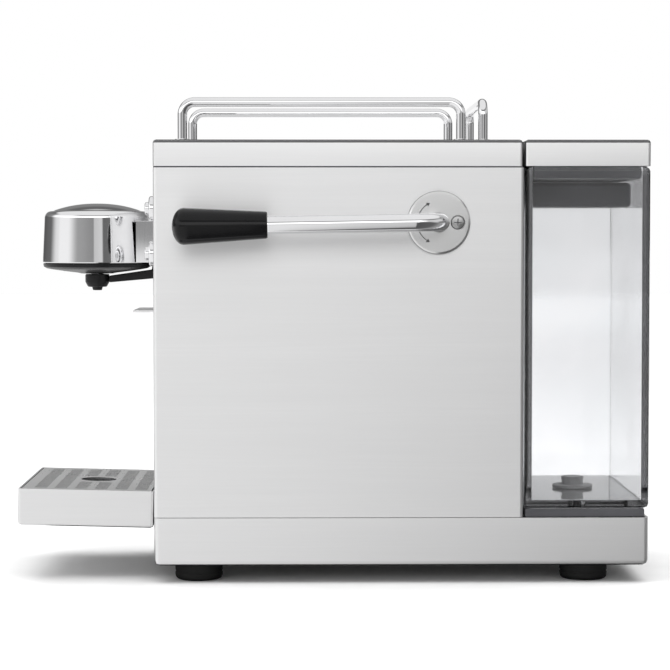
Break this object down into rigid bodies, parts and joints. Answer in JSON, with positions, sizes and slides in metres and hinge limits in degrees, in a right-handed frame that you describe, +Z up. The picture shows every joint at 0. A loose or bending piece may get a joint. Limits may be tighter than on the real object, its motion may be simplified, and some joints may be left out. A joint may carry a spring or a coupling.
{
  "type": "pod coffee machine",
  "caption": "Upright pod coffee machine: side lever drives the pod piston, drum brew head over a slotted drip tray, clear rear water tank, cup rails on top.",
  "frame": {"origin": "on the floor under the middle of the bounding box, lever and drip tray included", "axes": "+X to the lever side, +Y from the brew head towards the water tank, +Z up"},
  "size_m": [0.1902, 0.3617, 0.277],
  "materials": {
    "satin_steel": "satin",
    "chrome": "polished",
    "aluminium": "cast",
    "black_plastic": "fine matt",
    "gloss_black": "gloss",
    "dark_plastic": "matt",
    "rubber": "matt",
    "clear_plastic": "clear",
    "silicone_hose": "satin",
    "circuit_board": "satin"
  },
  "bodies": {
    "casing": {"base_pan": "satin_steel", "foot_front_left": "rubber", "foot_front_right": "rubber", "foot_rear_left": "rubber", "foot_rear_right": "rubber", "power_inlet": "black_plastic", "side_panel_right": "satin_steel", "side_panel_left": "satin_steel", "front_panel": "satin_steel", "rear_bulkhead": "satin_steel", "cup_plate": "satin_steel", "rail_right": "chrome", "rail_left": "chrome", "rail_rear": "chrome", "tank_seat": "dark_plastic", "water_dock": "dark_plastic", "lever_escutcheon": "satin_steel", "escutcheon_screw_front": "satin_steel", "escutcheon_screw_rear": "satin_steel", "shaft_bush_right": "dark_plastic", "shaft_bush_left": "dark_plastic", "chassis_plate_right": "satin_steel", "chassis_plate_left": "satin_steel", "piston_guide": "dark_plastic", "extraction_block": "aluminium", "pod_chute": "dark_plastic", "head_drum": "chrome", "head_underside": "black_plastic", "head_neck": "chrome", "coffee_spout": "black_plastic", "spout_arm": "black_plastic", "outlet_pipe": "satin_steel", "upper_button_bezel": "chrome", "lower_button_bezel": "chrome", "upper_switch": "dark_plastic", "lower_switch": "dark_plastic", "drawer_shelf": "satin_steel", "water_pump": "dark_plastic", "thermoblock": "aluminium", "supply_hose": "silicone_hose", "heater_feed_hose": "silicone_hose", "hot_water_hose": "silicone_hose", "control_board": "circuit_board"},
    "lever": {"lever_shaft": "satin_steel", "lever_cam": "satin_steel", "lever_rod": "chrome", "lever_grip": "gloss_black"},
    "piston": {"pod_piston": "aluminium", "follower_pin": "satin_steel"},
    "upper_button": {"upper_button_cap": "gloss_black"},
    "lower_button": {"lower_button_cap": "gloss_black"},
    "pod_drawer": {"used_pod_drawer": "satin_steel"},
    "tray": {"drip_tray": "satin_steel"},
    "grate": {"drip_grate": "satin_steel"},
    "tank": {"water_tank": "clear_plastic", "tank_carry_bar": "dark_plastic", "tank_valve_cage": "dark_plastic"},
    "tank_cover": {"tank_lid": "satin_steel", "tank_lid_liner": "dark_plastic"},
    "tank_valve": {"tank_valve_plunger": "dark_plastic"}
  },
  "joints": [
    {"name": "lever_pivot", "type": "hinge", "parent": "casing", "child": "lever", "pos_m": [-0.02262, 0.05974, 0.2056], "axis": [-1, 0, 0], "range_deg": [0, 90]},
    {"name": "piston_slide", "type": "slide", "parent": "casing", "child": "piston", "axis": [0, 1, 0], "range_m": [0, 0.018]},
    {"name": "upper_button_press", "type": "slide", "parent": "casing", "child": "upper_button", "axis": [0, 1, 0], "range_m": [0, 0.002], "stiffness_N_per_m": 300},
    {"name": "lower_button_press", "type": "slide", "parent": "casing", "child": "lower_button", "axis": [0, 1, 0], "range_m": [0, 0.002], "stiffness_N_per_m": 300},
    {"name": "drawer_slide", "type": "slide", "parent": "casing", "child": "pod_drawer", "axis": [0, -1, 0], "range_m": [0, 0.12]},
    {"name": "tray_slide", "type": "slide", "parent": "casing", "child": "tray", "axis": [0, -1, 0], "range_m": [0, 0.09]},
    {"name": "grate_lift", "type": "slide", "parent": "tray", "child": "grate", "axis": [0, 0, 1], "range_m": [0, 0.007]},
    {"name": "tank_lift", "type": "slide", "parent": "casing", "child": "tank", "axis": [0, 0, 1], "range_m": [0, 0.24]},
    {"name": "tank_lid_lift", "type": "slide", "parent": "tank", "child": "tank_cover", "axis": [0, 0, 1], "range_m": [0, 0.04]},
    {"name": "tank_valve_lift", "type": "slide", "parent": "tank", "child": "tank_valve", "axis": [0, 0, 1], "range_m": [0, 0.003]}
  ],
  "couplings": [
    {"joint": "piston_slide", "follows": "lever_pivot", "m_per_rad": 0.011459}
  ]
}
